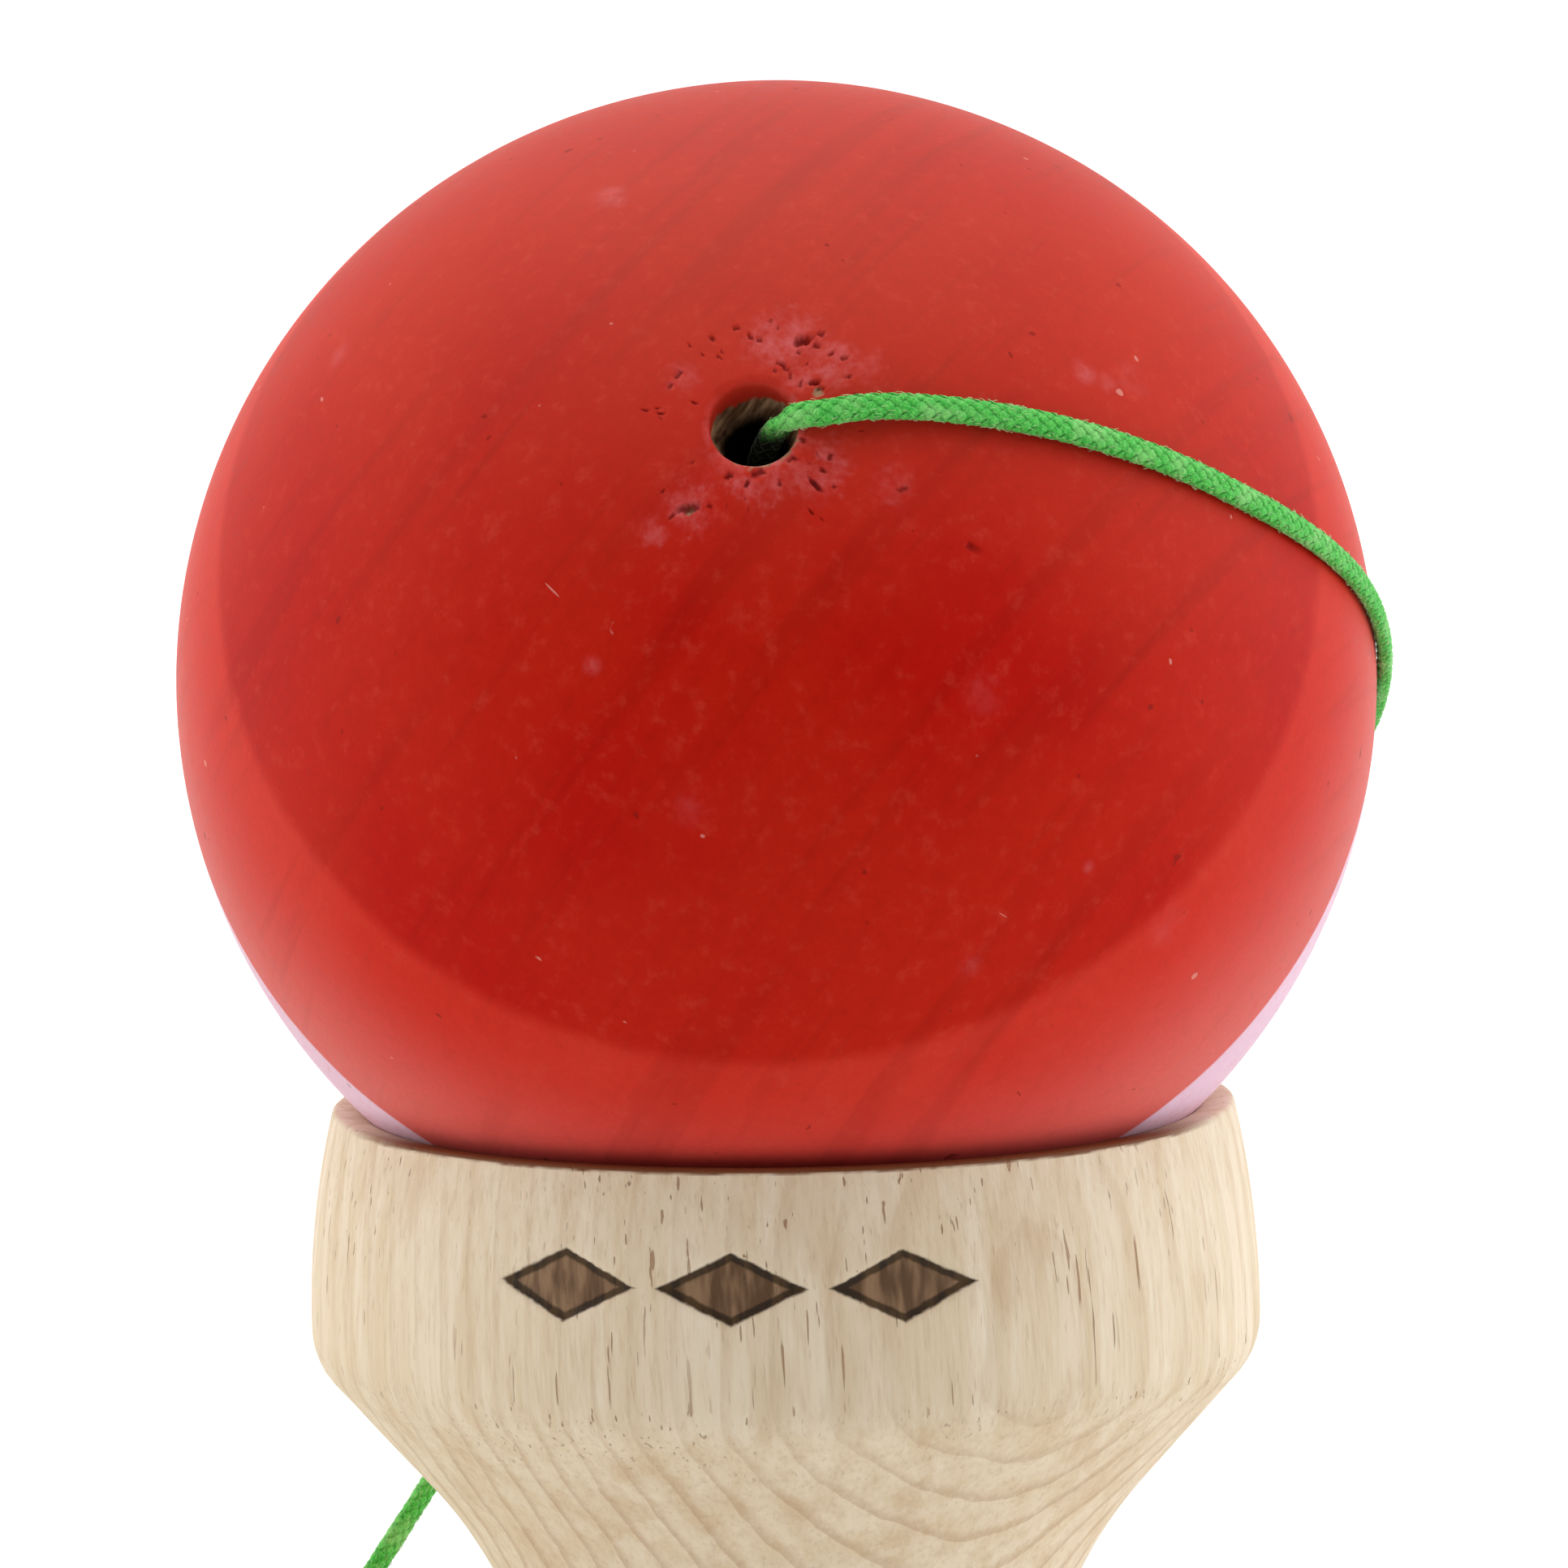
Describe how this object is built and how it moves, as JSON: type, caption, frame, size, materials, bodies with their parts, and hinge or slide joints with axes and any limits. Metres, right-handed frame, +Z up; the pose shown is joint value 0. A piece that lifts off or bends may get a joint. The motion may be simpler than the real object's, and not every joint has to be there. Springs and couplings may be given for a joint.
{
  "type": "kendama",
  "caption": "Wooden cup-and-ball skill toy: a handle with a spike, a crosspiece with two cups, and a drilled painted ball tied on with a string.",
  "frame": {"origin": "on the ground, at the middle of the wooden toy's outline seen from above, the string left out", "axes": "+Z up along the crosspiece, from its small cup to its big cup; +X along the handle towards the spike; the ball's string hole faces -Y"},
  "size_m": [0.162, 0.06, 0.1242],
  "materials": {
    "beech": "bare sanded beech",
    "painted_ball": "satin paint on wood",
    "bead_wood": "bare turned wood",
    "string": "braided cord"
  },
  "bodies": {
    "handset": {"ken": "beech", "sarado": "beech", "string": "string", "string_wrap": "string", "string_tail": "string", "string_in_ken": "string", "ken_knot": "string"},
    "bead": {"tama_bead": "bead_wood", "string_in_tama": "string", "tama_knot": "string"},
    "ball": {"tama": "painted_ball"}
  },
  "joints": [
    {"name": "tama_lift", "type": "slide", "parent": "handset", "child": "bead", "axis": [0, 0, 1], "range_m": [0, 0.04], "deforming": ["string"]},
    {"name": "tama_spin", "type": "hinge", "parent": "bead", "child": "ball", "pos_m": [0.011, 0, 0.0942], "axis": [-0.029, -0.875, 0.4833], "continuous": true}
  ]
}
